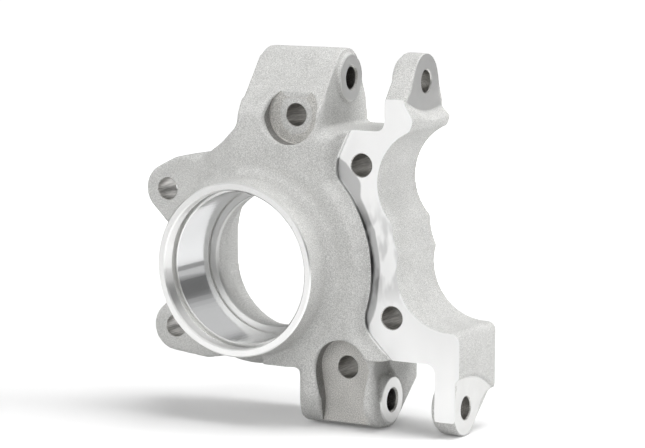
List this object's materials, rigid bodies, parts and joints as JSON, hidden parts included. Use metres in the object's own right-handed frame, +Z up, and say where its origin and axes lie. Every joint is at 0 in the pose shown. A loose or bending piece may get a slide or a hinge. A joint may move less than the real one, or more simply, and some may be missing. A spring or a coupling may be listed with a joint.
{
  "type": "steering knuckle",
  "caption": "Cast aluminium steering knuckle with a machined wheel bearing bore, a caliper bracket and upper and lower clevis lugs.",
  "frame": {"origin": "on the bearing bore's axis, in the plane of the machined caliper face, which is also the middle of the bearing seat", "axes": "-Y out of the bearing bore towards the open mouth and the wheel, +Y towards the back of the casting, +X across to the caliper bracket, +Z up to the upper clevis"},
  "size_m": [0.2031, 0.077, 0.2091],
  "materials": {
    "cast_aluminium": "satin"
  },
  "bodies": {
    "root": {"knuckle": "cast_aluminium"}
  },
  "joints": []
}
